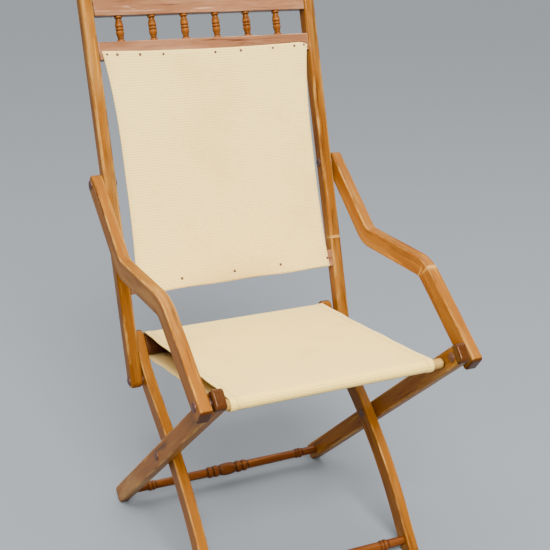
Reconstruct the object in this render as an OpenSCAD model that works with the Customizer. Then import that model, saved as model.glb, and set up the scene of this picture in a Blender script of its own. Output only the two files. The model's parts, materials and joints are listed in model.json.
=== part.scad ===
// Folding deck chair: crossed wooden legs, a hinged back frame with a row of turned
// spindles, cranked arms that link the back to the rear legs, and canvas seat and back.
// The chair faces -Y, Z is up and the floor is Z = 0. Side views are given as [y, z]
// from a point on the floor under the crossing of the legs.
// "left" and "right" are as seen by someone who stands in front of the chair.

/* [Width] */
// Inner face of each front leg, from the middle of the chair
inner_half_w = 200; // [180:1:230]
// Thickness of the front legs, across the chair
front_leg_t = 20.5; // [18:0.5:23]
// Thickness of the rear legs, across the chair
rear_leg_t = 21.5; // [18:0.5:23]
// Space between bars that turn against each other, filled by a washer
bar_gap = 1.5; // [1:0.1:2]

/* [Legs] */
// Height of the pivot where the legs cross
cross_z = 228; // [215:1:240]
// Angle of the straight rear legs above the floor
rear_leg_angle = 38.8; // [38:0.1:40]
// Rear leg, from the crossing to the arm's pivot
rear_leg_up = 342.8; // [335:0.1:350]
// Rear leg, from the arm's pivot to its front tip
rear_leg_tip = 25; // [24:1:40]
// Rear leg, from the crossing to its foot
rear_leg_down = 350; // [345:1:352]
// Depth of the rear legs, as seen from the side
rear_leg_d = 37; // [36:1:42]
// Depth of the bowed front legs, as seen from the side
front_leg_d = 36; // [34:1:40]

/* [Back] */
// Recline of the back from upright
recline = 15.7; // [15:0.1:17]
// Depth of the stiles, as seen from the side
stile_d = 30; // [26:1:32]
// Thickness of the stiles, across the chair
stile_t = 24; // [20:0.5:24]
// Along the stile, from its bottom pivot to the arm's pivot
arm_pivot_up = 384.3; // [380:0.1:390]
// Along the stile, from its bottom pivot to the bottom of the crest rail
crest_up = 695.5; // [680:0.5:710]
// Height of the crest rail at its ends
crest_h = 56; // [45:1:65]
// Rise of the crest rail's top in the middle
crest_rise = 8; // [2:1:12]
// Free length of the spindles
spindle_gap = 48; // [44:1:56]
// Distance from one spindle to the next
spindle_pitch = 66.5; // [50:0.5:68]
// Height of the spindle rail and of the lower rail
rail_h = 34; // [30:1:38]
// Thickness of the three back rails
rail_t = 20; // [16:1:22]

/* [Arms] */
// Depth of the arms, as seen from the side
arm_d = 38; // [36:1:42]
// Thickness of the arms, across the chair
arm_t = 22; // [20:0.5:24]
// Radius of the arm's upper edge at its rear, hollow bend
arm_hollow_r = 30; // [20:1:40]
// Radius of the arm's upper edge at its front, round bend
arm_round_r = 105; // [60:1:110]

/* [Seat] */
// Diameter of the round front rail
front_rail_dia = 19; // [18:0.5:22]
// Width of the rear rail's board
rear_rail_w = 40; // [34:1:42]
// Width of the seat canvas, across the chair
seat_w = 396; // [360:1:396]

/* [Canvas] */
// Thickness of the canvas
canvas_t = 1.6; // [1:0.1:2]
// Half width of the back canvas at its top edge
canvas_top_half = 218; // [214:1:219]
// Half width of the back canvas at its waist
canvas_waist_half = 204; // [195:1:210]
// Half width of the back canvas at its bottom edge
canvas_bottom_half = 213; // [212:1:219]

/* [Hidden] */
$fn = 48;

// Timber, canvas and metal colours
honey_wood = "#b9773c";
dark_wood = "#9a5a2c";
pale_wood = "#dcc095";
spindle_wood = "#c98a45";
rail_wood = "#b98e70";
canvas_cream = "#efe1c6";
aged_iron = "#4a3d3a";

// Layers across the chair, from the middle outwards: front legs, then stiles and rear legs, then arms
mid_in = inner_half_w + front_leg_t + bar_gap;
rear_leg_out = mid_in + rear_leg_t;
stile_out = mid_in + stile_t;
arm_in = stile_out + bar_gap;
arm_out = arm_in + arm_t;

// Pivot points as [y, z]
cross_p = [0, cross_z];
up_front = [-cos(rear_leg_angle), sin(rear_leg_angle)];
arm_front_p = cross_p + rear_leg_up * up_front;
back_p = [138, 328];
up_stile = [sin(recline), cos(recline)];
arm_top_p = back_p + arm_pivot_up * up_stile;

// Pins: every shank turns in its bore with this much room all round
shank_r = 3;
bore_play = 0.05;
big_head_r = 9;
small_head_r = 8.5;
head_h = 3.5;
rove_h = 2.5;
washer_r = 11;
washer_play = 0.1;
tenon_r = 8;
tenon_l = 12;
spindle_tenon_r = 4;
spindle_tenon_l = 10;

// Corner radii of the bars' ends
rear_foot_r = 8;
rear_tip_r = 8;
front_foot_r = 4;
front_top_r = 14;
stile_top_r = 9;
arm_back_r = 11;
arm_front_r = 7;

// Front leg: points on its middle line, from the foot to the top, bowed like a sabre
leg_knots = [[-187, 0], [-98, 125], [0, 226], [132, 331], [186, 396]];
knot_steps = 7;
foot_run_on = 20; // length below the floor line, sawn off level

// Arm: its middle line runs from the back pivot over these two bends to the front pivot
arm_bend_back = [94, 572.5];
arm_bend_front = [-117, 563.5];
arm_under_back_r = 70; // radii of the lower edge at the two bends
arm_under_front_r = 26;
bend_steps = 8;
arm_back_over = 13; // past the back pivot
arm_front_over = 24; // past the front pivot

// Rails of the seat
front_rail_up = 306; // along the rear leg, from the crossing
front_rail_over = 1.5; // above the leg's middle line
front_rail_p = cross_p + front_rail_up * up_front + [0, front_rail_over];
rear_rail_p = [170.5, 386];
rear_rail_angle = 55;
rear_rail_t = 20;
rest_gap = 0.4;

// Stretchers between the feet
rear_stretcher_down = 308; // along the rear leg, from the crossing
rear_stretcher_under = 2; // below the leg's middle line
rear_stretcher_p = cross_p - rear_stretcher_down * up_front - [0, rear_stretcher_under];
front_stretcher_p = [-172, 24];

// Shaft of a stretcher: radius at its ends, and how much it swells towards the middle
stretcher_end_r = 8.5;
stretcher_swell = 1.3;
// Turned beads on a stretcher, as [place, half width, height]: from the ends, and from the middle
end_beads = [[42, 4, 2.2], [50, 3, 1.8]];
middle_beads = [[0, 18, 3.8], [27, 7, 3.2], [41, 6, 2.8]];

// Heights along the stile, from its bottom pivot
spindle_rail_top = crest_up - spindle_gap;
spindle_rail_bottom = spindle_rail_top - rail_h;
lower_rail_bottom = 167;
canvas_below_top = 17.5; // canvas's top edge, below the spindle rail's
stile_over = 12; // stile's top, above the crest rail's ends
canvas_top = spindle_rail_top - canvas_below_top;
canvas_bottom = lower_rail_bottom;
stile_top = crest_up + crest_h + stile_over;
rail_front = -stile_d / 2 + canvas_t;
crest_front = -14; // the crest rail stands a little behind the stiles' faces
spindle_n = 6;
spindle_off = -7; // middle of the row of spindles, left of the chair's middle

// Tacks, set by eye: places across the chair; the upper row sags a little towards its middle
top_tack_x = [-209, -188, -143, -96, 13, 68, 139, 188, 210];
bottom_tack_x = [-208, -116, -3, 100, 208];
top_tack_under = 12;
top_tack_sag = 6;
bottom_tack_over = 18;
function top_tack(x) = [x, canvas_top - top_tack_under + top_tack_sag * pow(x / canvas_top_half, 2)];
top_tacks_at = [for (x = top_tack_x) top_tack(x)];
bottom_tacks_at = [for (x = bottom_tack_x) [x, canvas_bottom + bottom_tack_over]];
tack_r = 3;
tack_pin_r = 0.9;
tack_pin_l = 9;

function unit(v) = v / norm(v);
function turn_left(v) = [-v.y, v.x];

// Points of an arc round c from angle a0 to a1, in n steps
function arc(c, r, a0, a1, n) = [for (i = [0:n]) c + r * [cos(a0 + (a1 - a0) * i / n), sin(a0 + (a1 - a0) * i / n)]];

// Catmull-Rom curve through the knots; the end tangents aim along the last spans
function knot(k, i) = i < 0 ? 2 * k[0] - k[1] : i >= len(k) ? 2 * k[len(k) - 1] - k[len(k) - 2] : k[i];
function spline_at(k, i, t) =
    let (a = knot(k, i - 1), b = knot(k, i), c = knot(k, i + 1), d = knot(k, i + 2))
    0.5 * (2 * b + (c - a) * t + (2 * a - 5 * b + 4 * c - d) * t * t + (3 * b - a - 3 * c + d) * t * t * t);
function spline(k, n) = concat(
    [for (i = [0:len(k) - 2]) for (j = [0:n - 1]) spline_at(k, i, j / n)], [k[len(k) - 1]]);

// Round stretch that replaces the corner b between a and c, with radius r
function bend(a, b, c, r, n) =
    let (u = unit(a - b), v = unit(c - b), half = acos(u * v) / 2,
         centre = b + unit(u + v) * r / sin(half),
         s = b + u * r / tan(half), e = b + v * r / tan(half),
         a0 = atan2(s.y - centre.y, s.x - centre.x),
         sweep = ((atan2(e.y - centre.y, e.x - centre.x) - a0 + 540) % 360) - 180)
    arc(centre, r, a0, a0 + sweep, n);

// Outline of a bar of depth d along a middle line; each end runs on by its corner radius
function heading(p, i) = unit(p[min(i + 1, len(p) - 1)] - p[max(i - 1, 0)]);
function side_line(p, h) = [for (i = [0:len(p) - 1]) p[i] + h * turn_left(heading(p, i))];
function end_cap(e, dir, h, r, n) = concat(
    [for (i = [0:n]) e - turn_left(dir) * (h - r) + r * (dir * sin(90 * i / n) - turn_left(dir) * cos(90 * i / n))],
    [for (i = [n:-1:0]) e + turn_left(dir) * (h - r) + r * (dir * sin(90 * i / n) + turn_left(dir) * cos(90 * i / n))]);
function backwards(p) = [for (i = [len(p) - 1:-1:0]) p[i]];
function bar_outline(p, d, r_start, r_end) = let (last = len(p) - 1, h = d / 2) concat(
    [for (i = [1:last - 1]) side_line(p, -h)[i]],
    end_cap(p[last], heading(p, last), h, r_end, 5),
    backwards([for (i = [1:last - 1]) side_line(p, h)[i]]),
    end_cap(p[0], -heading(p, 0), h, r_start, 5));

// Edge of the arm at h from its middle line, with radius r1 at the rear bend and r2 at the front one
arm_knots = [arm_top_p, arm_bend_back, arm_bend_front, arm_front_p];
function mitre(a, b, c) = let (p = turn_left(unit(b - a)), q = turn_left(unit(c - b))) (p + q) / (1 + p * q);
function arm_edge(h, r1, r2) =
    let (k = arm_knots, s = k[0] + h * turn_left(unit(k[1] - k[0])), a = k[1] + h * mitre(k[0], k[1], k[2]),
         b = k[2] + h * mitre(k[1], k[2], k[3]), e = k[3] + h * turn_left(unit(k[3] - k[2])))
    concat(bend(s, a, b, r1, bend_steps), bend(a, b, e, r2, bend_steps));
dir_back = unit(arm_top_p - arm_bend_back);
dir_front = unit(arm_front_p - arm_bend_front);
arm_outline = concat(
    arm_edge(-arm_d / 2, arm_hollow_r, arm_round_r),
    end_cap(arm_front_p + (arm_front_over - arm_front_r) * dir_front, dir_front, arm_d / 2, arm_front_r, 5),
    backwards(arm_edge(arm_d / 2, arm_under_back_r, arm_under_front_r)),
    end_cap(arm_top_p + (arm_back_over - arm_back_r) * dir_back, dir_back, arm_d / 2, arm_back_r, 5));

// The chair's middle, front to rear, is moved to y = 0: its front is the arms' ends, its rear the stiles' tops
front_y = min([for (q = arm_outline) q.x]);
rear_y = back_p.x + (stile_top - stile_top_r) * up_stile.x + (stile_d / 2 - stile_top_r) * up_stile.y + stile_top_r;
mid_y = (front_y + rear_y) / 2;

// Turns a side view [y, z] into a plate from x0 to x0 + t, on the side s (-1 left, 1 right)
module plate(points, x0, t, s) {
    translate([s > 0 ? x0 : -x0 - t, 0, 0]) rotate([90, 0, 90]) linear_extrude(t) polygon(points);
}

// Round bar across the chair at p = [y, z], from x0 to x1
module cross_bar(p, x0, x1, r) {
    translate([x0, p.x, p.y]) rotate([0, 90, 0]) cylinder(h = x1 - x0, r = r);
}

// Bore through the layer x0..x1 on side s
module bore(p, x0, x1, r, s) {
    cross_bar(p, s > 0 ? x0 - 1 : -x1 - 1, s > 0 ? x1 + 1 : -x0 + 1, r);
}

// Solid turned about an axis across the chair; the profile is [x, r] from left to right
module turned_across(p, profile) {
    translate([0, p.x, p.y]) rotate([0, 90, 0]) rotate_extrude()
        polygon(concat([[0, profile[0].x]], [for (q = profile) [q.y, q.x]], [[0, profile[len(profile) - 1].x]]));
}

// Pin along X at p: shank from x0 to x1, a domed head outside x1 and a rove inside x0
module pin(p, x0, x1, head_r, rove_r, s) {
    dome = head_r > 0 ? [for (i = [0:6]) [x1 + head_h * sin(15 * i), head_r * cos(15 * i)]] : [[x1, shank_r], [x1, 0]];
    tail = rove_r > 0 ? [[x0 - rove_h, 0], [x0 - rove_h, rove_r - 1], [x0 - rove_h + 1, rove_r], [x0, rove_r], [x0, shank_r]]
                      : [[x0, 0], [x0, shank_r]];
    outline = concat(tail, [[x1, shank_r]], dome);
    translate([0, p.x, p.y]) rotate([0, 90 * s, 0]) rotate_extrude() polygon([for (q = outline) [q.y, q.x]]);
}

// Ring at p that fills the gap from x0 to x1 between two bars
module washer(p, x0, x1, s) {
    t = x1 - x0 - washer_play;
    difference() {
        cross_bar(p, s > 0 ? x0 : -x0 - t, s > 0 ? x0 + t : -x0, washer_r);
        cross_bar(p, s > 0 ? x0 - 1 : -x0 - t - 1, s > 0 ? x0 + t + 1 : -x0 + 1, shank_r + bore_play);
    }
}

// Moves the side-view frame so that the chair's middle is at y = 0
module placed() { translate([0, -mid_y, 0]) children(); }

// Frame of the back: its origin is the bottom pivot, Z runs up the stiles and Y to the rear
module on_back() {
    placed() translate([0, back_p.x, back_p.y]) rotate([-recline, 0, 0]) children();
}

// Straight leg from the rear foot to the front top, with its foot trimmed level
module rear_leg(s) {
    path = [cross_p - (rear_leg_down - rear_foot_r) * up_front, cross_p,
        cross_p + (rear_leg_up + rear_leg_tip - rear_tip_r) * up_front];
    color(honey_wood) placed() difference() {
        plate(bar_outline(path, rear_leg_d, rear_foot_r, rear_tip_r), mid_in, rear_leg_t, s);
        translate([-500, 0, -50]) cube([1000, 500, 50]);
        bore(cross_p, mid_in, rear_leg_out, shank_r + bore_play, s);
        bore(arm_front_p, mid_in, rear_leg_out, shank_r + bore_play, s);
        bore(front_rail_p, mid_in - 2, mid_in + tenon_l, tenon_r + bore_play, s);
        bore(rear_stretcher_p, mid_in - 2, mid_in + tenon_l, tenon_r + bore_play, s);
    }
}

// Bowed leg from the front foot to the rear seat rail, with its foot sawn level
module front_leg(s) {
    foot = leg_knots[0] + foot_run_on * unit(leg_knots[0] - leg_knots[1]);
    path = concat([foot], spline(leg_knots, knot_steps));
    color(honey_wood) placed() difference() {
        plate(bar_outline(path, front_leg_d, front_foot_r, front_top_r), inner_half_w, front_leg_t, s);
        translate([-500, -400, -80]) cube([1000, 800, 80]);
        bore(cross_p, inner_half_w, mid_in, shank_r + bore_play, s);
        bore(back_p, inner_half_w, mid_in, shank_r + bore_play, s);
        bore(front_stretcher_p, inner_half_w - 2, inner_half_w + tenon_l, tenon_r + bore_play, s);
    }
}

// Turned bar between two legs: a slightly swelling shaft, a pair of rings near each end, a beaded middle
function bead_at(x, bead) = abs(x - bead[0]) < bead[1] ? bead[2] * sqrt(1 - pow((x - bead[0]) / bead[1], 2)) : 0;
function highest_bead(x, beads) = max([for (b = beads) bead_at(x, b)]);
function stretcher_r(x, half) = let (a = abs(x))
    stretcher_end_r + stretcher_swell * sin(100 * (half - a) / half)
    + highest_bead(half - a, end_beads) + highest_bead(a, middle_beads);
module stretcher(p, half) {
    step = 1.5;
    n = floor(2 * half / step);
    shaft = [for (i = [1:n - 1]) let (x = -half + i * 2 * half / n) [x, stretcher_r(x, half)]];
    color(dark_wood) placed() turned_across(p, concat(
        [[-half - tenon_l + 0.5, tenon_r], [-half, tenon_r], [-half, stretcher_r(half, half)]], shaft,
        [[half, stretcher_r(half, half)], [half, tenon_r], [half + tenon_l - 0.5, tenon_r]]));
}

// Plain round rail between the tops of the rear legs, under the seat's front edge
module seat_front_rail() {
    r = front_rail_dia / 2;
    end = mid_in + tenon_l - 0.5;
    color(pale_wood) placed() turned_across(front_rail_p,
        [[-end, tenon_r], [-mid_in, tenon_r], [-mid_in, r], [mid_in, r], [mid_in, tenon_r], [end, tenon_r]]);
}

// Corner of the rear rail's section, grown outwards by off
function rear_rail_corner(along, across, off) = rear_rail_p
    + along * (rear_rail_w / 2 + off) * [cos(rear_rail_angle), sin(rear_rail_angle)]
    + across * (rear_rail_t / 2 + off) * [-sin(rear_rail_angle), cos(rear_rail_angle)];

// Board between the tops of the front legs, under the seat's rear edge
module seat_rear_rail() {
    color(honey_wood) placed() plate([rear_rail_corner(1, 1, 0), rear_rail_corner(-1, 1, 0),
        rear_rail_corner(-1, -1, 0), rear_rail_corner(1, -1, 0)], -inner_half_w, 2 * inner_half_w, 1);
}

// Sleeve of canvas round the two seat rails, pulled taut
function sleeve(off) = concat(
    arc(front_rail_p, front_rail_dia / 2 + off, 87, 264, 20),
    [rear_rail_corner(-1, -1, off), rear_rail_corner(1, -1, off), rear_rail_corner(1, 1, off)]);
module seat_canvas() {
    color(canvas_cream) placed() difference() {
        plate(sleeve(rest_gap + canvas_t), -seat_w / 2, seat_w, 1);
        plate(sleeve(rest_gap), -seat_w / 2 - 1, seat_w + 2, 1);
    }
}

// Upright of the back, round at its bottom pivot
module back_stile(s) {
    path = [[0, 0.01], [0, stile_top / 2], [0, stile_top - stile_top_r]];
    color(honey_wood) on_back() difference() {
        plate(bar_outline(path, stile_d, stile_d / 2, stile_top_r), mid_in, stile_t, s);
        bore([0, 0], mid_in, stile_out, shank_r + bore_play, s);
        bore([0, arm_pivot_up], mid_in, stile_out, shank_r + bore_play, s);
    }
}

// Bores for the spindles' tenons, from height z0 up by h
function spindle_x(i) = spindle_off + (i - (spindle_n + 1) / 2) * spindle_pitch;
module spindle_bores(z0, h) {
    for (i = [1:spindle_n])
        translate([spindle_x(i), rail_front + rail_t / 2, z0])
            cylinder(h = h, r = spindle_tenon_r + bore_play);
}

// Holes for a row of tacks at the places at = [x, height]
module tack_bores(at) {
    for (q = at) translate([q.x, rail_front - canvas_t - 1, q.y])
        rotate([-90, 0, 0]) cylinder(h = tack_pin_l + 2, r = tack_pin_r + bore_play, $fn = 16);
}

// Top rail, gently arched along its upper edge
module crest_rail() {
    arch = [for (i = [0:24]) let (x = mid_in - 2 * mid_in * i / 24) [x, crest_h + crest_rise * (1 - pow(x / mid_in, 2))]];
    color(rail_wood) on_back() difference() {
        translate([0, crest_front + rail_t, crest_up]) rotate([90, 0, 0]) linear_extrude(rail_t)
            polygon(concat([[-mid_in, 0], [mid_in, 0]], arch));
        spindle_bores(crest_up - 1, spindle_tenon_l + 1.5);
    }
}

// Plain rail between the stiles, from height z0
module back_rail(z0) {
    translate([-mid_in, rail_front, z0]) cube([2 * mid_in, rail_t, rail_h]);
}

module spindle_rail() {
    color(rail_wood) on_back() difference() {
        back_rail(spindle_rail_bottom);
        spindle_bores(spindle_rail_top - spindle_tenon_l - 0.5, spindle_tenon_l + 1);
        tack_bores(top_tacks_at);
    }
}

module lower_back_rail() {
    color(rail_wood) on_back() difference() {
        back_rail(lower_rail_bottom);
        tack_bores(bottom_tacks_at);
    }
}

// Half of a spindle, mirrored about its middle: a bead, a groove, a belly, a waist and a flared collar
spindle_bead_r = 8;
spindle_groove_r = 6.8;
spindle_belly_r = 8;
spindle_waist_r = 5.6;
spindle_collar_r = 7.7;
function ease(a, b, t) = a + (b - a) * (1 - cos(180 * t)) / 2;
function spindle_r(z) = let (a = abs(z) / (spindle_gap / 2))
    a < 0.1 ? spindle_groove_r + (spindle_bead_r - spindle_groove_r) * sqrt(1 - pow(a / 0.1, 2)) :
    a < 0.16 ? spindle_groove_r :
    a < 0.24 ? ease(spindle_belly_r - 0.5, spindle_belly_r, (a - 0.16) / 0.08) :
    a < 0.8 ? ease(spindle_belly_r, spindle_waist_r, (a - 0.24) / 0.56) :
    a < 0.88 ? ease(spindle_waist_r, spindle_collar_r, (a - 0.8) / 0.08) : spindle_collar_r;
module spindle(i) {
    n = 48;
    body = [for (k = [0:n]) let (z = spindle_gap * (k / n - 0.5)) [spindle_r(z), z]];
    end = spindle_gap / 2 + spindle_tenon_l;
    color(spindle_wood) on_back()
        translate([spindle_x(i), rail_front + rail_t / 2, crest_up - spindle_gap / 2])
            rotate_extrude() polygon(concat([[0, -end], [spindle_tenon_r, -end], [spindle_tenon_r, -spindle_gap / 2]], body,
                [[spindle_tenon_r, spindle_gap / 2], [spindle_tenon_r, end], [0, end]]));
}

// Canvas across the front of the back, drawn in at its waist
function canvas_half(t) = canvas_waist_half
    + (canvas_top_half - canvas_waist_half) * pow(max(0, 2 * t - 1), 3)
    + (canvas_bottom_half - canvas_waist_half) * pow(max(0, 1 - 2 * t), 3);
module back_canvas() {
    n = 24;
    edge = [for (i = [0:n]) [canvas_half(i / n), canvas_bottom + (canvas_top - canvas_bottom) * i / n]];
    color(canvas_cream) on_back() difference() {
        translate([0, rail_front, 0]) rotate([90, 0, 0]) linear_extrude(canvas_t)
            polygon(concat(edge, [for (p = backwards(edge)) [-p.x, p.y]]));
        tack_bores(top_tacks_at);
        tack_bores(bottom_tacks_at);
    }
}

// Row of domed tacks through the canvas
module tacks(at) {
    dome = [for (i = [0:5]) [tack_r * cos(18 * i), 1.3 * sin(18 * i)]];
    color(aged_iron) on_back() for (q = at)
        translate([q.x, rail_front - canvas_t, q.y]) rotate([90, 0, 0])
            rotate_extrude($fn = 24) polygon(concat([[0, -tack_pin_l], [tack_pin_r, -tack_pin_l], [tack_pin_r, 0]], dome));
}

// Cranked arm that links the stile to the rear leg's top
module arm(s) {
    color(honey_wood) placed() difference() {
        plate(arm_outline, arm_in, arm_t, s);
        bore(arm_top_p, arm_in, arm_out, shank_r + bore_play, s);
        bore(arm_front_p, arm_in, arm_out, shank_r + bore_play, s);
    }
}

// The bolt that joins arm and stile: its head half stays with the arm, its nut half with the stile
module arm_bolt(s) { color(aged_iron) placed() pin(arm_top_p, arm_in, arm_out, big_head_r, 0, s); }
module stile_nut(s) { color(aged_iron) placed() pin(arm_top_p, mid_in, stile_out, 0, big_head_r - 0.5, s); }

// Rivets through two bars
module arm_rivet(s) { color(aged_iron) placed() pin(arm_front_p, mid_in, arm_out, big_head_r, big_head_r - 0.5, s); }
module cross_rivet(s) { color(aged_iron) placed() pin(cross_p, inner_half_w, rear_leg_out, small_head_r, small_head_r, s); }
module back_rivet(s) { color(aged_iron) placed() pin(back_p, inner_half_w, stile_out, small_head_r, small_head_r, s); }

// Washers between bars, one on each side of the chair
module washer_pair(p, x0, x1) {
    color(aged_iron) placed() for (s = [-1, 1]) washer(p, x0, x1, s);
}

rear_leg(-1);  // rear_leg_left
rear_leg(1);  // rear_leg_right
front_leg(-1);  // front_leg_left
front_leg(1);  // front_leg_right
stretcher(rear_stretcher_p, mid_in);  // rear_stretcher
stretcher(front_stretcher_p, inner_half_w);  // front_stretcher
seat_front_rail();
seat_rear_rail();
seat_canvas();
back_stile(-1);  // back_stile_left
back_stile(1);  // back_stile_right
crest_rail();
spindle_rail();
lower_back_rail();
spindle(1);  // spindle_1
spindle(2);  // spindle_2
spindle(3);  // spindle_3
spindle(4);  // spindle_4
spindle(5);  // spindle_5
spindle(6);  // spindle_6
back_canvas();
tacks(top_tacks_at);  // top_tacks
tacks(bottom_tacks_at);  // bottom_tacks
arm(-1);  // arm_left
arm(1);  // arm_right
arm_bolt(-1);  // arm_bolt_left
arm_bolt(1);  // arm_bolt_right
stile_nut(-1);  // stile_nut_left
stile_nut(1);  // stile_nut_right
arm_rivet(-1);  // arm_rivet_left
arm_rivet(1);  // arm_rivet_right
cross_rivet(-1);  // cross_rivet_left
cross_rivet(1);  // cross_rivet_right
back_rivet(-1);  // back_rivet_left
back_rivet(1);  // back_rivet_right
washer_pair(arm_top_p, stile_out, arm_in);  // arm_top_washers
washer_pair(arm_front_p, rear_leg_out, arm_in);  // arm_front_washers
washer_pair(cross_p, inner_half_w + front_leg_t, mid_in);  // cross_washers
washer_pair(back_p, inner_half_w + front_leg_t, mid_in);  // back_washers
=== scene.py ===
import json

import bmesh
import bpy
import numpy as np
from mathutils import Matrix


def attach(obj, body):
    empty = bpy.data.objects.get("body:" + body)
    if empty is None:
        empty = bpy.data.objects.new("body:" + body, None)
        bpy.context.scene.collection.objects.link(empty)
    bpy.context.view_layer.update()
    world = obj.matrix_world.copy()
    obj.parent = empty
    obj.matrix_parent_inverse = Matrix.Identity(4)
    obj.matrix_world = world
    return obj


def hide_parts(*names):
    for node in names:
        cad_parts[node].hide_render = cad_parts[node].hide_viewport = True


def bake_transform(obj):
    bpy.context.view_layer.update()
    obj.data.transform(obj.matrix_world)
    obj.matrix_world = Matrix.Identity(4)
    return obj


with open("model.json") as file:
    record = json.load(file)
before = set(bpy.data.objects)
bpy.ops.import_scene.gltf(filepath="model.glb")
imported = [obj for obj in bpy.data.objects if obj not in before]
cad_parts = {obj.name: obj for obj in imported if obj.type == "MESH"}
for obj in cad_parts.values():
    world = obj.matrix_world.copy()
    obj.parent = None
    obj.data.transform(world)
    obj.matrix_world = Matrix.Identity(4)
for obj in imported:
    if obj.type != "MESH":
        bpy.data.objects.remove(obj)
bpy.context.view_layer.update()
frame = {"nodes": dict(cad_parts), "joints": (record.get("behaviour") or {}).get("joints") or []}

pivots = {joint["name"]: joint["pos_m"] for joint in frame["joints"]}

# ---------------------------------------------------------------- camera, light and floor
# A standing viewer's camera in front of the chair's left side, looking down at it, in a
# studio with a pale floor, a large soft light above the front, a weak one at the right, and
# wide panels of soft light all over the ceiling.
LOOK_DOWN, TURNED = 20.34, 25.85  # degrees below level, and clockwise from facing the chair's back
camera_data = bpy.data.cameras.new("camera")
camera_data.lens = 71.0
camera_data.sensor_width = 36.0
camera_data.shift_y = 0.0997
camera = bpy.data.objects.new("camera", camera_data)
camera.location = (-0.8395, -1.7698, 1.157)
camera.rotation_euler = np.radians((90 - LOOK_DOWN, 0, -TURNED))
bpy.context.scene.collection.objects.link(camera)
bpy.context.scene.camera = camera


def linear(code):
    """sRGB hex to linear RGBA: c/12.92 below 0.04045, else ((c + 0.055)/1.055)^2.4."""
    c = np.array([int(code[i:i + 2], 16) for i in (1, 3, 5)]) / 255
    return (*np.where(c <= 0.04045, c / 12.92, ((c + 0.055) / 1.055) ** 2.4), 1.0)


def add_node(tree, kind, output=0, stops=(), **values):
    """Adds a node and gives one of its outputs. Each value goes to the property of that name, or else
    to the input of that name, with _ for a space, or of that number after _. An input takes a number,
    an sRGB hex or the output to link. stops are a colour ramp's, as (place, sRGB hex)."""
    node = tree.nodes.new("ShaderNode" + kind)
    for key, value in values.items():
        if hasattr(node, key):
            setattr(node, key, value)
            continue
        socket = node.inputs[int(key[1:]) if key[1:].isdigit() else key.replace("_", " ")]
        if isinstance(value, bpy.types.NodeSocket):
            tree.links.new(value, socket)
        else:
            socket.default_value = linear(value) if isinstance(value, str) else value
    if stops:
        for element, (place, code) in zip(node.color_ramp.elements, (stops[0], stops[-1])):
            element.position, element.color = place, linear(code)
        for place, code in stops[1:-1]:
            node.color_ramp.elements.new(place).color = linear(code)
    return node.outputs[output]


def new_material(name):
    """A material with its node tree and its Principled shader."""
    material = bpy.data.materials.new(name)
    material.use_nodes = True
    return material, material.node_tree, material.node_tree.nodes["Principled BSDF"]


# Matt painted boards: a plain, cool grey with no gloss, which the lamps make pale.
studio_paint, tree, shader = new_material("matt_studio_paint")
shader.inputs["Base Color"].default_value = linear("#74797e")
shader.inputs["Roughness"].default_value = 0.85
bpy.ops.mesh.primitive_plane_add(size=40)
floor = bpy.context.object
floor.name = "studio_floor"
floor.data.materials.append(studio_paint)

for name, place, turn, size, watts in (
    ("softbox_front", (-1.5, -5.0, 4.8), (50, 0, -17), 2.8, 1160),
    ("softbox_right", (5.0, -1.0, 2.8), (66, 0, 79), 2.0, 45),
):
    lamp = bpy.data.objects.new(name, bpy.data.lights.new(name, "AREA"))
    lamp.data.size = size
    lamp.data.energy = watts
    lamp.location = place
    lamp.rotation_euler = np.radians(turn)
    bpy.context.scene.collection.objects.link(lamp)

ceiling = bpy.data.objects.new("ceiling_panels", bpy.data.lights.new("ceiling_panels", "SUN"))
ceiling.data.energy = 5.2
ceiling.data.angle = np.radians(100)
ceiling.rotation_euler = np.radians((-8, 0, 0))
bpy.context.scene.collection.objects.link(ceiling)

world = bpy.data.worlds.new("studio_air")
bpy.context.scene.world = world
world.use_nodes = True
world.node_tree.nodes["Background"].inputs["Color"].default_value = linear("#d5dade")
world.node_tree.nodes["Background"].inputs["Strength"].default_value = 0.13

# ---------------------------------------------------------------- rear legs
# Two straight legs of planed honey-coloured hardwood, stained and varnished, with their edges
# sanded round. They run from the rear feet up to the front, where the arms are riveted to them.
MM = 0.001
CROSS = np.array([0.0, 228.0])  # side views are [y, z] in mm from a floor point under the crossing
ORIGIN = np.array([0.0, pivots["fold"][1] / MM, 0.0])
LEG_SLOPE = np.radians(38.8)
LEG_WAY = np.array([-np.cos(LEG_SLOPE), np.sin(LEG_SLOPE)])  # from the crossing up to the front

# Every bar has its inner face's distance from the chair's middle, its thickness, half its width and
# the radius that the sandpaper left on its edges. The legs run down and up from the crossing.
REAR_LEG = dict(inner=222.0, thick=21.5, half=18.5, edge=4.4, down=350.0, up=342.8, tip=25.0)
LEG_CORNER = 8  # radius of the corners at both ends
DARK_TIP = 16.0  # length of the front tip, where hands and stain have left it dark


def left_of(way):
    """A quarter turn to the left: (-y, x)."""
    return np.stack([-way[..., 1], way[..., 0]], -1)


def unit(vectors):
    """Each vector divided by its length."""
    return vectors / np.linalg.norm(vectors, axis=-1, keepdims=True)


def square_end(end, way, half, radius):
    """Two quarter circles of one radius at the corners of a bar's end, from its right to its left:
    corner + radius*(way*sin a - left*cos a), and the same mirrored."""
    a = np.radians(np.linspace(0, 90, 7))[:, None]
    left = left_of(way)
    right_corner = end - left * (half - radius) + radius * (way * np.sin(a) - left * np.cos(a))
    left_corner = end + left * (half - radius) + radius * (way * np.sin(a) + left * np.cos(a))
    return np.concatenate([right_corner, left_corner[::-1]])


def sawn_outline(path, half, start_radius, end_radius):
    """Outline at the distance half on both sides of a middle line, closed by two square ends."""
    way = unit(np.gradient(path, axis=0))
    side = half * left_of(way)
    return np.concatenate([
        (path - side)[1:-1], square_end(path[-1], way[-1], half, end_radius),
        (path + side)[-2:0:-1], square_end(path[0], -way[0], half, start_radius)])


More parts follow.
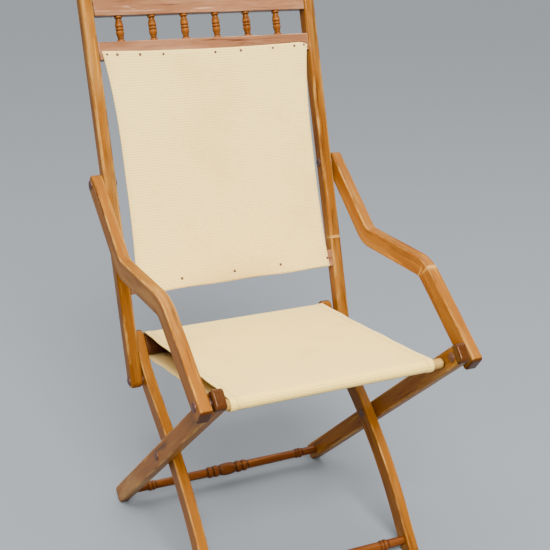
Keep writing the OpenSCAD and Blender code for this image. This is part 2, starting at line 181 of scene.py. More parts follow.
def grid_faces(rows, columns):
    """Quads between rows of a grid whose columns close on themselves, and a cap on each end row."""
    i, j = np.meshgrid(np.arange(rows - 1), np.arange(columns), indexing="ij")
    k = (j + 1) % columns
    quads = np.stack([i * columns + j, i * columns + k,
                      (i + 1) * columns + k, (i + 1) * columns + j], -1)
    ends = [list(range(columns))[::-1], list(range((rows - 1) * columns, rows * columns))]
    return quads.reshape(-1, 4).tolist() + ends


def along_line(points, line):
    """Place of each point along a line of points and its distance to the left of it, from the
    nearest stretch of the line; the first and last stretch run on beyond their ends."""
    start, step = line[:-1], np.diff(line, axis=0)
    length = np.linalg.norm(step, axis=1)
    t = ((points[:, None] - start) * step).sum(-1) / length**2
    limits = np.stack([np.zeros(len(length)), np.ones(len(length))])
    limits[0, 0], limits[1, -1] = -9, 9  # far past the ends, in lengths of the first and last stretch
    t = np.clip(t, *limits)
    gap = points[:, None] - (start + t[..., None] * step)
    best = (gap**2).sum(-1).argmin(1)
    row = np.arange(len(points))
    run = np.concatenate([[0], np.cumsum(length)[:-1]])
    side = (gap[row, best] * left_of(step / length[:, None])[best]).sum(1)
    return run[best] + t[row, best] * length[best], side


def strip_caps(count, corner=14):
    """Faces of a board's outline: quads from one long edge to the other, and one face at each end,
    for the points of its two rounded corners."""
    m = count // 2 - corner
    a, b = np.arange(m - 1), count - corner - 1 - np.arange(m - 1)
    quads = np.stack([a, a + 1, b - 1, b], 1).tolist()
    far = list(range(m - 1, m + corner + 1))
    near = list(range(count - corner - 1, count)) + [0]
    return quads + [far, near]


def eased_board(outline, low, high, radius, steps=5, strips=False):
    """A board sawn to an outline. Across its thickness, at the angle a from a face to a side, the
    outline is drawn in by radius*(1 - sin a) at the depth radius*(1 - cos a) below that face.
    Gives points (along, up, through), faces and how far each point is on a sanded edge, sin 2a."""
    nxt = unit(np.roll(outline, -1, 0) - outline)
    prv = np.roll(nxt, 1, 0)
    out_nxt, out_prv = -left_of(nxt), -left_of(prv)
    mitre = (out_nxt + out_prv) / (1 + np.sum(out_nxt * out_prv, 1, keepdims=True))
    a = np.radians(np.linspace(0, 90, steps + 1))
    inset = radius * np.concatenate([1 - np.sin(a), (1 - np.sin(a))[::-1]])
    fall = radius * (1 - np.cos(a))
    depth = np.concatenate([low + fall, (high - fall)[::-1]])
    flat = outline[None] - inset[:, None, None] * mitre[None]
    through = np.broadcast_to(depth[:, None, None], (*flat.shape[:2], 1))
    points = np.concatenate([flat, through], 2)
    on_edge = np.concatenate([np.sin(2 * a), np.sin(2 * a)[::-1]])
    edge = np.broadcast_to(on_edge[:, None], flat.shape[:2])
    rows = 2 * (steps + 1)
    faces = grid_faces(rows, len(outline))
    if strips:
        last = (rows - 1) * len(outline)
        caps = strip_caps(len(outline))
        faces = (faces[:-2] + [face[::-1] for face in caps]
                 + [[last + i for i in face] for face in caps])
    return points.reshape(-1, 3), faces, edge.ravel()


def make_piece(name, points, faces, material, attributes, body=None, replaced=(), cloth=False):
    """Mesh object in metres from points in mm of the side view's frame [x, y, z], smooth, with its
    faces turned outwards. attributes are arrays by name: numbers or vectors, one for each point."""
    mesh = bpy.data.meshes.new(name)
    mesh.from_pydata((points + ORIGIN) * MM, [], faces)
    for key, values in attributes.items():
        values = np.asarray(values, np.float32)
        kind, field = ("FLOAT_VECTOR", "vector") if values.ndim == 2 else ("FLOAT", "value")
        mesh.attributes.new(key, kind, "POINT").data.foreach_set(field, values.ravel())
    if not cloth:
        work = bmesh.new()
        work.from_mesh(mesh)
        bmesh.ops.recalc_face_normals(work, faces=work.faces)
        work.to_mesh(mesh)
        work.free()
    mesh.shade_smooth()
    mesh.materials.append(material)
    piece = bpy.data.objects.new(name, mesh)
    bpy.context.scene.collection.objects.link(piece)
    if not cloth:
        weighted = piece.modifiers.new("flat_faces_stay_flat", "WEIGHTED_NORMAL")
        weighted.weight = 80
    if body:
        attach(piece, body)
    if replaced:
        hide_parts(*replaced)
    return piece


def varnished_wood(name, dark, middle, light, pale, dark_stain_and_shade="#3a1c0c", gloss=0.3):
    """Stained hardwood under old varnish. The attribute grain holds metres along, across and through
    the board: long soft streaks about 9 mm apart, fibres about 1.6 mm apart, dark pores, and broad
    paler patches that are partly faded varnish and partly painted reflection. The attribute edge
    shows where the sanded edges are paler, partly worn and partly a painted highlight, nick where
    the varnish is knocked, hollow where the wood is darker in grooves, and past how many metres a
    point lies inside the dark end of a bar; on a rail, past marks the painted shade along its lower edge."""
    material, tree, shader = new_material(name)
    grain = add_node(tree, "Attribute", "Vector", attribute_name="grain")
    edge, hollow, past, nick = (add_node(tree, "Attribute", "Fac", attribute_name=mark)
                                for mark in ("edge", "hollow", "past", "nick"))

    noises = {}  # each stretched so many times along the grain, with so many patches a metre across
    for layer, stretch, scale, detail, rough, bend in (
        ("streaks", 16, 110, 5, 0.6, 0.5), ("fibres", 34, 620, 3, 0.55, 0.0),
        ("clouds", 4, 13, 3, 0.55, 0.0), ("pores", 30, 1500, 2, 0.55, 0.0),
        ("rubbing_and_highlight", 5, 60, 4, 0.7, 0.0), ("fading_and_reflection", 7, 24, 4, 0.6, 0.0), ("foot_patches", 1, 70, 4, 0.7, 0.0),
    ):
        board = add_node(tree, "Mapping", Vector=grain, Scale=(1 / stretch, 1, 1))
        noises[layer] = add_node(tree, "TexNoise", Vector=board, Scale=scale, Detail=detail,
                                 Roughness=rough, Distortion=bend)
    figure = add_node(tree, "Mix", _0=0.3, _2=noises["streaks"], _3=noises["fibres"])
    place = add_node(tree, "TexCoord", "Object")
    height = add_node(tree, "SeparateXYZ", "Z", Vector=place)

    shares = {}  # each layer from none to all, between two values of its source
    for layer, source, low, high in (
        ("figure", figure, 0.35, 0.66), ("clouds", noises["clouds"], 0.42, 0.7),
        ("pores", noises["pores"], 0.62, 0.72), ("rubbing_and_highlight", noises["rubbing_and_highlight"], 0.46, 0.62),
        # broad paler patches: partly faded varnish, partly painted reflection
        ("fading_and_reflection", noises["fading_and_reflection"], 0.5, 0.74), ("foot_patches", noises["foot_patches"], 0.35, 0.6),
        # past gives a bar's dark end grain, and on the rails painted shade along their lower edge
        ("end grain and painted shade", past, 0.0, 0.0018), ("near the floor", height, 0.03, 0.0),
    ):
        shares[layer] = add_node(tree, "MapRange", Value=source, From_Min=low, From_Max=high)
    # paler sanded edges: partly wear, partly a painted highlight
    rubbed_and_highlit = add_node(tree, "Math", operation="MULTIPLY", _0=edge, _1=shares["rubbing_and_highlight"])
    # darker in patches within 30 mm of the floor
    darker_near_floor = add_node(tree, "Math", operation="MULTIPLY", _0=shares["near the floor"],
                       _1=shares["foot_patches"])

    colour = add_node(tree, "ValToRGB", "Color", Fac=shares["figure"],
                      stops=((0.0, dark), (0.38, middle), (0.75, middle), (1.0, light)))
    for tint, covers in (
        (dark, ((shares["clouds"], 0.45),)), (dark, ((shares["pores"], 0.35),)),
        (pale, ((rubbed_and_highlit, 0.45), (nick, 0.8))), (pale, ((shares["fading_and_reflection"], 0.28),)),
        (dark_stain_and_shade, ((hollow, 0.8), (shares["end grain and painted shade"], 0.9), (darker_near_floor, 0.7))),
    ):
        amount = 0.0
        for cover, most in covers:
            part = add_node(tree, "Math", operation="MULTIPLY", _0=cover, _1=most)
            amount = add_node(tree, "Math", operation="MAXIMUM", _0=amount, _1=part)
        colour = add_node(tree, "Mix", 2, data_type="RGBA", _0=amount, _6=colour, _7=tint)
    tree.links.new(colour, shader.inputs["Base Color"])

    rough, relief = gloss, noises["streaks"]
    for source, to_rough, to_relief in (
        (noises["fibres"], 0.25, 0.5), (shares["pores"], 0.15, -0.6), (shares["end grain and painted shade"], -0.2, 0.0),
    ):
        rough = add_node(tree, "Math", operation="MULTIPLY_ADD", _0=source, _1=to_rough, _2=rough)
        if to_relief:
            relief = add_node(tree, "Math", operation="MULTIPLY_ADD", _0=source, _1=to_relief, _2=relief)
    tree.links.new(rough, shader.inputs["Roughness"])
    bump = add_node(tree, "Bump", Height=relief, Strength=0.28, Distance=0.0005)
    tree.links.new(bump, shader.inputs["Normal"])
    shader.inputs["Specular IOR Level"].default_value = 0.15
    shader.inputs["Specular Tint"].default_value = linear("#ffce92")
    shader.inputs["Coat Weight"].default_value = 0.06
    shader.inputs["Coat Roughness"].default_value = 0.16
    shader.inputs["Coat Tint"].default_value = linear("#fff0d8")
    return material


# Honey-stained hardwood under worn varnish: orange-brown sides, a broad soft gloss, and paler
# edges, partly where hands have rubbed the stain off and partly a painted highlight.
honey_wood = varnished_wood("honey_hardwood_varnished", "#502809", "#875011", "#b47b20", "#dfae5e")


END_GRAIN = 4.5  # length of the darker end, where the stain soaked into the end grain


def side_bar(name, line, outline, size, start, body, nicks=(), dark_end=END_GRAIN):
    """A bar whose outline round a middle line is seen from the side, as thick as its size says, on
    the side of the chair that its name says. Its grain follows the middle line, and start shifts it,
    so that no two bars look alike. The attribute past is how far a point lies in the dark_end
    millimetres before the bar's end. nicks are pale knocks in the varnish, as (place along the bar,
    half width, lowest distance from the middle line, highest one), where 99 is past any edge."""
    side = 1 if name.endswith("right") else -1
    low, high = sorted((side * size["inner"], side * (size["inner"] + size["thick"])))
    board, faces, edge = eased_board(outline, low, high, size["edge"], strips=True)
    points = board[:, [2, 0, 1]]
    run, off = along_line(points[:, 1:], line)
    grain = np.stack([run, off, points[:, 0]], 1) * MM + np.array(start)
    nick = np.zeros(len(points))
    for place, half_width, lowest, highest in nicks:
        nick += np.exp(-((run - place) / half_width) ** 2) * (off > lowest) * (off < highest)
    past = (run - run.max() + dark_end) * MM
    return make_piece(name + "_bar", points, faces, honey_wood,
                      {"grain": grain, "edge": edge, "nick": nick, "past": past}, body, [name])


places = np.linspace(-(REAR_LEG["down"] - LEG_CORNER), REAR_LEG["up"] + REAR_LEG["tip"] - LEG_CORNER, 9)
line = CROSS + places[:, None] * LEG_WAY
outline = sawn_outline(line, REAR_LEG["half"], LEG_CORNER, LEG_CORNER)
outline[:, 1] = np.maximum(outline[:, 1], 0)  # the feet are sawn level with the floor
for name, start in (("rear_leg_left", (0.3, 1.1, 0.0)), ("rear_leg_right", (2.7, 0.4, 0.9))):
    side_bar(name, line, outline, REAR_LEG, start, "rear_leg_frame", dark_end=DARK_TIP)

# ---------------------------------------------------------------- front legs
# Two sabre-shaped legs of the same hardwood, sawn from a plank in a long bow. Each runs from
# its level-sawn front foot up to the rear seat rail and turns on the rivet at the crossing.
LEG_KNOTS = np.array([[-187.0, 0], [-98, 125], [0, 226], [132, 331], [186, 396]])
FRONT_LEG = dict(inner=200.0, thick=20.5, half=18.0, edge=3.2)
FRONT_LEG_TOP = 14  # radius of the corners at the top


def catmull_rom(knots, steps):
    """Curve through the knots: 0.5*(2b + (c-a)t + (2a-5b+4c-d)t^2 + (3b-a-3c+d)t^3) on each span."""
    k = np.concatenate([[2 * knots[0] - knots[1]], knots, [2 * knots[-1] - knots[-2]]])
    a, b, c, d = (k[i:len(k) - 3 + i, None] for i in range(4))
    t = (np.arange(steps) / steps)[None, :, None]
    curve = 0.5 * (2 * b + (c - a) * t + (2 * a - 5 * b + 4 * c - d) * t**2
                   + (3 * b - a - 3 * c + d) * t**3)
    return np.concatenate([curve.reshape(-1, 2), knots[-1:]])


middle = catmull_rom(LEG_KNOTS, 9)
way = unit(np.gradient(middle, axis=0))
side = FRONT_LEG["half"] * left_of(way)
edge_lines = np.stack([middle - side, middle + side])
edge_lines[:, 0] -= way[0] * edge_lines[:, 0, 1:] / way[0, 1]  # both edges end on the floor
foot = edge_lines[0, 0] + (edge_lines[1, 0] - edge_lines[0, 0]) * np.linspace(1, 0, 16)[1:-1, None]
outline = np.concatenate([
    edge_lines[0, :-1], square_end(middle[-1], way[-1], FRONT_LEG["half"], FRONT_LEG_TOP),
    edge_lines[1, -2::-1], foot])
for name, start in (("front_leg_left", (1.9, 2.2, 0.2)), ("front_leg_right", (0.6, 3.1, 0.5))):
    side_bar(name, middle, outline, FRONT_LEG, start, "front_leg_frame")

# ---------------------------------------------------------------- stiles of the back
# Two uprights of the same wood, round at the bottom where they pivot on the front legs, and
# cut square with softened corners at the top. The arms are bolted to them half way up.
BACK = np.array([138.0, 328.0])  # the pivot on the front legs
RECLINE = np.radians(15.7)
BACK_UP = np.array([np.sin(RECLINE), np.cos(RECLINE)])
STILE = dict(inner=222.0, thick=24.0, half=15.0, edge=5.5, top=763.5)
STILE_FOOT, STILE_CORNER = 14.9, 9  # radii at the foot, which is all but a half circle, and at the top
NICK_UP = 226.0  # a knock across the right stile's front, above its pivot

places = np.concatenate([np.linspace(0, 200, 4), NICK_UP + np.arange(-4, 5),
                         np.linspace(300, STILE["top"] - STILE_CORNER, 7)])
line = BACK + places[:, None] * BACK_UP
outline = sawn_outline(line, STILE["half"], STILE_FOOT, STILE_CORNER)
for name, start, nicks in (
    ("back_stile_left", (3.3, 0.2, 0.4), ()),
    ("back_stile_right", (0.1, 1.7, 1.3), ((NICK_UP, 1.1, 8, 99), (NICK_UP + 3, 0.6, 8, 99))),
):
    side_bar(name, line, outline, STILE, start, "back_frame", nicks)

# ---------------------------------------------------------------- arms
# Cranked arms of the same hardwood, bolted to the stiles and riveted to the rear legs. The upper
# edge is well rounded at the front bend, where the hand rests, and hollow at the rear one.
ARM_TOP = BACK + 384.3 * BACK_UP
ARM_FRONT = CROSS + REAR_LEG["up"] * LEG_WAY
ARM_KNOTS = np.array([ARM_TOP, [94, 572.5], [-117, 563.5], ARM_FRONT])
ARM = dict(inner=247.5, thick=22.0, half=19.0, edge=3.6)
UPPER_BENDS, LOWER_BENDS, MIDDLE_BENDS = (30, 105), (70, 26), (50, 60)  # radii, the rear bend's first
TOP_OVER, TOP_CORNER = 13, 11  # how far the arm runs past its bolt, and its corners' radius there
FRONT_OVER, FRONT_CORNER = 24, 7


def arc(centre, radius, start, end, steps):
    """Points centre + radius*(cos a, sin a), with a from start to end in degrees."""
    a = np.radians(np.linspace(start, end, steps + 1))
    return centre + radius * np.stack([np.cos(a), np.sin(a)], 1)


def bend(before, corner, after, radius, steps=12):
    """Arc that touches both lines of a corner: its centre lies on the bisector, radius/sin(half the
    angle) away from the corner."""
    u, v = unit(before - corner), unit(after - corner)
    half = np.arccos(u @ v) / 2
    centre = corner + unit(u + v) * radius / np.sin(half)
    first, last = (corner + w * radius / np.tan(half) - centre for w in (u, v))
    start, end = (np.degrees(np.arctan2(w[1], w[0])) for w in (first, last))
    return arc(centre, radius, start, start + (end - start + 540) % 360 - 180, steps)


def arm_edge(offset, rear_radius, front_radius):
    """The arm's middle line moved sideways by offset, mitred at its two bends by
    offset*(n1 + n2)/(1 + n1.n2), and then rounded there."""
    k = ARM_KNOTS
    n = left_of(unit(k[1:] - k[:-1]))
    a, b = (k[i + 1] + offset * (n[i] + n[i + 1]) / (1 + n[i] @ n[i + 1]) for i in (0, 1))
    return np.concatenate([bend(k[0] + offset * n[0], a, b, rear_radius),
                           bend(a, b, k[3] + offset * n[2], front_radius)])


rear_way, front_way = unit(ARM_KNOTS[0] - ARM_KNOTS[1]), unit(ARM_KNOTS[3] - ARM_KNOTS[2])
outline = np.concatenate([
    arm_edge(-ARM["half"], *UPPER_BENDS),
    square_end(ARM_FRONT + (FRONT_OVER - FRONT_CORNER) * front_way, front_way, ARM["half"], FRONT_CORNER),
    arm_edge(ARM["half"], *LOWER_BENDS)[::-1],
    square_end(ARM_TOP + (TOP_OVER - TOP_CORNER) * rear_way, rear_way, ARM["half"], TOP_CORNER)])
line = np.concatenate([ARM_KNOTS[:1], arm_edge(0, *MIDDLE_BENDS), ARM_KNOTS[3:]])
bend_middle = 1 + 13 + 6  # the point half way round the front bend, after the knot and the rear bend
ARM_BEND = np.linalg.norm(np.diff(line[:bend_middle + 1], axis=0), axis=1).sum()
for name, start, nicks in (
    ("arm_left", (1.2, 0.9, 2.0), ()),
    ("arm_right", (2.4, 2.9, 0.3), ((ARM_BEND, 1.2, 12, 99), (ARM_BEND + 14, 2.0, -99, -14))),
):
    side_bar(name, line, outline, ARM, start, name.split("_")[1] + "_arm", nicks)

# ---------------------------------------------------------------- rails of the back
# Crest rail with an arched top, a plain rail under the spindles and one behind the canvas's
# lower edge: pinkish brown, mottled hardwood, tenoned between the stiles and varnished.
CREST_UP, CREST_H, CREST_RISE, CREST_FRONT = 695.5, 56.0, 8.0, -14.0
RAIL_FRONT, RAIL_T, RAIL_H = -13.4, 20.0, 34.0
RAIL_EDGE, PAINTED_SHADE_EDGE = 2.4, 1.4  # radius of the sanded edges, and height of the painted shade along the lower edge
SPINDLE_GAP = 48.0
SPINDLE_RAIL_TOP = CREST_UP - SPINDLE_GAP
LOWER_RAIL = 167.0

# Mottled brown hardwood, less orange than the bars, with a duller and thinner varnish.
rail_wood = varnished_wood("pinkish_rail_hardwood", "#4c2a1a", "#8c5c3e", "#bd8f6e", "#d6a980",
                           gloss=0.34)


def on_back(points):
    """From the back's own axes (x, rearwards, up from the pivot) to the side view's frame: a turn by
    the recline about the pivot."""
    x, rear, up = points.T
    cos, sin = np.cos(RECLINE), np.sin(RECLINE)
    return np.stack([x, BACK[0] + up * sin + rear * cos, BACK[1] + up * cos - rear * sin], 1)


half_gap = STILE["inner"]
x = np.linspace(half_gap, -half_gap, 33)
crest = np.concatenate([[[-half_gap, 0], [half_gap, 0]],
                        np.stack([x, CREST_H + CREST_RISE * (1 - (x / half_gap) ** 2)], 1)])
plain = np.array([[-half_gap, 0], [half_gap, 0], [half_gap, RAIL_H], [-half_gap, RAIL_H]])
for name, outline, up, front, start in (
    ("crest_rail", crest, CREST_UP, CREST_FRONT, 0.4),
    ("spindle_rail", plain, SPINDLE_RAIL_TOP - RAIL_H, RAIL_FRONT, 1.9),
    ("lower_back_rail", plain, LOWER_RAIL, RAIL_FRONT, 3.2),
):
    board, faces, edge = eased_board(outline, front, front + RAIL_T, RAIL_EDGE)
    points = board[:, [0, 2, 1]] + np.array([0, 0, up])
    # past paints shade on each rail's underside and along its lowest edge
    make_piece(name + "_board", on_back(points), faces, rail_wood,
               {"grain": points[:, [0, 2, 1]] * MM + start, "edge": edge,
                "past": (up + PAINTED_SHADE_EDGE - points[:, 2]) * MM}, "back_frame", [name])

# ---------------------------------------------------------------- spindles
# Six short spindles turned on a lathe, glued between the crest and the spindle rail: a bead in
# the middle, a groove and a belly on each side, a waist and a flared collar at each end.
SPINDLES, SPINDLE_PITCH, SPINDLE_OFF = 6, 66.5, -7.0
BEAD_R, GROOVE_R, BELLY_R, WAIST_R, COLLAR_R = 8.0, 6.8, 8.0, 5.6, 7.7


def turned(places, radii, around=40):
    """Solid of revolution: at each place s along the axis, the ring (s, r cos a, r sin a)."""
    a = np.linspace(0, 2 * np.pi, around, endpoint=False)
    ring = np.stack([np.ones_like(a), np.cos(a), np.sin(a)], 1)
    points = np.stack([np.ones_like(radii), radii, radii], 1)[:, None] * ring[None]
    points[..., 0] = places[:, None]
    return points.reshape(-1, 3), grid_faces(len(places), around)


def hollows(radii, reach, depth, around=40):
    """How deep each ring lies below the widest ring within reach steps of it, from 0 to 1 at depth."""
    near = np.stack([np.roll(radii, k) for k in range(-reach, reach + 1)])
    return np.repeat(np.clip((near.max(0) - radii) / depth, 0, 1), around)


def ease(a, b, t):
    """From a to b by half a wave of a cosine, as t goes from 0 to 1."""
    return a + (b - a) * (1 - np.cos(np.pi * np.clip(t, 0, 1))) / 2


def spindle_radius(z):
    """Half of a spindle mirrored about its middle, by the share a of its half length: a half-round
    bead, a groove, and cosine curves up to the belly, down to the waist and out to the collar."""
    a = np.abs(z) / (SPINDLE_GAP / 2)
    bead = GROOVE_R + (BEAD_R - GROOVE_R) * np.sqrt(np.clip(1 - (a / 0.1) ** 2, 0, 1))
    return np.select(
        [a < 0.1, a < 0.16, a < 0.24, a < 0.8, a < 0.88],
        [bead, GROOVE_R, ease(7.5, BELLY_R, (a - 0.16) / 0.08), ease(BELLY_R, WAIST_R, (a - 0.24) / 0.56),
         ease(WAIST_R, COLLAR_R, (a - 0.8) / 0.08)], COLLAR_R)


# Turned softwood stained amber: brighter than the bars, and darker in the grooves.
spindle_wood = varnished_wood("amber_turned_wood", "#4f260a", "#8c4f18", "#b87a30", "#d9a04e", "#140802")

z = np.linspace(-SPINDLE_GAP / 2, SPINDLE_GAP / 2, 97)
points, faces = turned(z, spindle_radius(z))
grooves = hollows(spindle_radius(z), 4, 1.1)
for i in range(1, SPINDLES + 1):
    x = SPINDLE_OFF + (i - (SPINDLES + 1) / 2) * SPINDLE_PITCH
    local = points[:, [1, 2, 0]] + [x, RAIL_FRONT + RAIL_T / 2, CREST_UP - SPINDLE_GAP / 2]
    make_piece(f"spindle_{i}_turned", on_back(local), faces, spindle_wood,
               {"grain": points * MM + 0.31 * i, "hollow": grooves}, "back_frame", [f"spindle_{i}"])

# ---------------------------------------------------------------- stretchers
# Two long bars turned from redder wood, one between the rear feet and one between the front
# feet: a shaft that swells a little to the middle, a pair of rings near each end, a beaded block.
SHAFT_R, SHAFT_SWELL = 8.5, 1.3
END_BEADS = ((42, 4, 2.2), (50, 3, 1.8))  # (from the end, half width, height)
MIDDLE_BEADS = ((0, 18, 3.8), (27, 7, 3.2), (41, 6, 2.8))  # (from the middle, half width, height)

# The same hardwood stained redder and darker, with a brighter gloss from polishing on the lathe.
stretcher_wood = varnished_wood("red_brown_turned_wood", "#3e1b08", "#6a3611", "#945822", "#b87e42",
                                "#140802", gloss=0.22)


def beads(s, rows):
    """Highest of several beads at s: height*(1 - ((s - place)/half width)^2)^0.5 for each."""
    place, half, height = np.array(rows, float).T[..., None]
    return (height * np.sqrt(np.clip(1 - ((s - place) / half) ** 2, 0, 1))).max(0)


for name, centre, half, body in (
    ("rear_stretcher", CROSS - 308 * LEG_WAY - [0, 2], REAR_LEG["inner"], "rear_leg_frame"),
    ("front_stretcher", np.array([-172.0, 24.0]), FRONT_LEG["inner"], "front_leg_frame"),
):
    x = np.linspace(-half, half, 521)
    a = np.abs(x)
    radii = (SHAFT_R + SHAFT_SWELL * np.sin(np.radians(100 * (half - a) / half))
             + beads(half - a, END_BEADS) + beads(a, MIDDLE_BEADS))
    points, faces = turned(x, radii)
    make_piece(name + "_turned", points + [0, *centre], faces, stretcher_wood,
               {"grain": points * MM + half, "hollow": hollows(radii, 5, 3.0)}, body, [name])

# ---------------------------------------------------------------- seat rails
# A round rail of bare pale wood between the tops of the rear legs, and a slanted board between
# the tops of the front legs. The seat's canvas runs round both, so only their ends are seen.
FRONT_RAIL = CROSS + 306 * LEG_WAY + [0, 1.5]
FRONT_RAIL_R = 9.5
REAR_RAIL = np.array([170.5, 386.0])
REAR_RAIL_ANGLE = np.radians(55)
REAR_RAIL_HALVES = (20, 10)  # half its width and half its thickness

# Beech dowel left bare: pale yellow-brown and dry, with paler patches, partly greyed where it was handled
# and partly painted reflection.
bare_wood = varnished_wood("bare_beech_dowel", "#86652c", "#ab8542", "#c4a25c", "#d4b678", "#7c6040",
                           gloss=0.55)
x = np.linspace(-REAR_LEG["inner"], REAR_LEG["inner"], 61)
points, faces = turned(x, np.full(len(x), FRONT_RAIL_R))
make_piece("seat_front_rail_dowel", points + [0, *FRONT_RAIL], faces, bare_wood,
           {"grain": points * MM}, "rear_leg_frame", ["seat_front_rail"])


def rear_rail_corner(along, across, off=0.0):
    """A corner of the rail in the side view, with off added to both halves of its size."""
    way = np.array([np.cos(REAR_RAIL_ANGLE), np.sin(REAR_RAIL_ANGLE)])
    wide, thick = REAR_RAIL_HALVES
    return REAR_RAIL + along * (wide + off) * way + across * (thick + off) * left_of(way)


outline = np.array([rear_rail_corner(a, b) for a, b in ((-1, -1), (1, -1), (1, 1), (-1, 1))])
board, faces, edge = eased_board(outline, -FRONT_LEG["inner"], FRONT_LEG["inner"], 2.5)
points = board[:, [2, 0, 1]]

# The same hardwood as the bars, dull, and kept from the light by the canvas: its colours are darkened as
# painted shade.
painted_shade_rail_wood = varnished_wood("painted_shade_dark_rail", "#2c1509", "#472612", "#5d361b", "#76492a", gloss=0.4)
make_piece("seat_rear_rail_board", points, faces, painted_shade_rail_wood,
           {"grain": points * MM + 1.7, "edge": edge}, "front_leg_frame", ["seat_rear_rail"])

# ---------------------------------------------------------------- seat canvas
# One sleeve of cream cotton canvas with fine cross ribs, pulled taut round the two seat rails,
# its side edges turned in and stitched down. It sags a little between the rails.
CANVAS_T = 1.6
SEAT_HALF = 197.2
HEM_W, HEM_T, HEM_STEP = 13.0, 0.9, 1.6


def ribbed_canvas(name, light, shade, stain_and_shade):
    """Plain woven cotton with a fine rib in the weft. The attribute cloth holds metres across and
    along the cloth: ribs 5 mm apart that waver a little, and threads 1.5 mm apart, drawn twice as
    coarse as real ones so that they show. The attribute soil darkens the cloth along its edges and
    hem, and as painted shade where the seat's lower layer faces down."""
    material, tree, shader = new_material(name)
    cloth = add_node(tree, "Attribute", "Vector", attribute_name="cloth")
    soil_and_shade = add_node(tree, "Attribute", "Fac", attribute_name="soil_and_shade")
    ribs = add_node(tree, "TexWave", "Fac", Vector=cloth, wave_type="BANDS", bands_direction="Y",
                    Scale=63.0, Distortion=2.2, Detail=2.0, Detail_Scale=1.3)
    threads = add_node(tree, "TexWave", "Fac", Vector=cloth, wave_type="BANDS", bands_direction="X",
                       Scale=200.0, Distortion=3.0, Detail=2.0)
    drawn_out = add_node(tree, "Mapping", Vector=cloth, Scale=(0.18, 1, 1))
    slubs = add_node(tree, "TexNoise", Vector=drawn_out, Scale=260.0, Detail=3.0, Roughness=0.7)
    patches = add_node(tree, "TexNoise", Vector=cloth, Scale=5.5, Detail=5.0, Roughness=0.65)
    colour = add_node(tree, "ValToRGB", "Color", Fac=ribs,
                      stops=((0.0, shade), (0.45, light), (1.0, light)))
    for source, low, high, most, tint in (
        (slubs, 0.5, 0.75, 0.35, shade), (patches, 0.5, 0.8, 0.35, stain_and_shade), (soil_and_shade, 0.0, 1.0, 0.6, stain_and_shade),
    ):
        amount = add_node(tree, "MapRange", Value=source, From_Min=low, From_Max=high, To_Max=most)
        colour = add_node(tree, "Mix", 2, data_type="RGBA", _0=amount, _6=colour, _7=tint)
    tree.links.new(colour, shader.inputs["Base Color"])
    relief = ribs
    for source, weight in ((threads, 0.25), (slubs, 0.7)):
        relief = add_node(tree, "Math", operation="MULTIPLY_ADD", _0=source, _1=weight, _2=relief)
    bump = add_node(tree, "Bump", Height=relief, Strength=0.55, Distance=0.0006)
    tree.links.new(bump, shader.inputs["Normal"])
    shader.inputs["Roughness"].default_value = 0.86
    shader.inputs["Sheen Weight"].default_value = 0.25
    shader.inputs["Specular IOR Level"].default_value = 0.25
    return material


# Unbleached cotton canvas, yellowed to cream: matt, with a soft bloom where the light grazes it.
seat_cloth = ribbed_canvas("cream_cotton_canvas_seat", "#ffd870", "#f0c962", "#b08c40")


def hem_rise(from_edge):
    """Extra height of the turned-in edge: HEM_T at the edge, and none past HEM_W, with a smooth
    step 3t^2 - 2t^3 over the last HEM_STEP millimetres before that."""
    t = np.clip((HEM_W - from_edge) / HEM_STEP, 0, 1)
    return HEM_T * t * t * (3 - 2 * t)


def cloth_columns(half, count, hem=HEM_W):
    """Places across the cloth, close together where the hem steps down."""
    fine = np.concatenate([np.linspace(0, hem - 1.8, 5), np.linspace(hem - 1.5, hem + 0.2, 5)])
    plain = np.linspace(-half + hem + 3, half - hem - 3, count)
    return np.concatenate([-half + fine, plain, (half - fine)[::-1]])


def open_grid_faces(rows, columns, closed=False):
    """Quads of a sheet's grid; where closed, the last row joins the first."""
    i, j = np.meshgrid(np.arange(rows if closed else rows - 1), np.arange(columns - 1), indexing="ij")
    k = (i + 1) % rows
    quads = [i * columns + j, k * columns + j, k * columns + j + 1, i * columns + j + 1]
    return np.stack(quads, -1).reshape(-1, 4).tolist()


OFF = 0.4 + CANVAS_T / 2  # the cloth's middle stands this far off the rails
front_arc = arc(FRONT_RAIL, FRONT_RAIL_R + OFF, 87, 264, 22)
corner_low, corner_rear, corner_top = (
    rear_rail_corner(a, b, OFF) for a, b in ((-1, -1), (1, -1), (1, 1)))
turn_low, turn_rear, turn_top = (bend(a, b, c, 3.5, 6) for a, b, c in (
    (front_arc[-1], corner_low, corner_rear), (corner_low, corner_rear, corner_top),
    (corner_rear, corner_top, front_arc[0])))
top_share, low_share = (np.linspace(0, 1, count)[1:-1, None] for count in (72, 60))
TOP_SAG, LOW_SAG = 3.0, 5.0
loop = np.concatenate([
    turn_top, turn_top[-1] + (front_arc[0] - turn_top[-1]) * top_share, front_arc,
    front_arc[-1] + (turn_low[0] - front_arc[-1]) * low_share, turn_low, turn_rear])
slack = np.concatenate([
    np.zeros(len(turn_top)), TOP_SAG * np.sin(np.pi * top_share[:, 0]), np.zeros(len(front_arc)),
    LOW_SAG * np.sin(np.pi * low_share[:, 0]), np.zeros(len(turn_low) + len(turn_rear))])
out = -left_of(unit(np.roll(loop, -1, 0) - np.roll(loop, 1, 0)))
run = np.concatenate([[0], np.cumsum(np.linalg.norm(np.diff(loop, axis=0), axis=1))])
loop_length = run[-1] + np.linalg.norm(loop[0] - loop[-1])
across = cloth_columns(SEAT_HALF, 40)


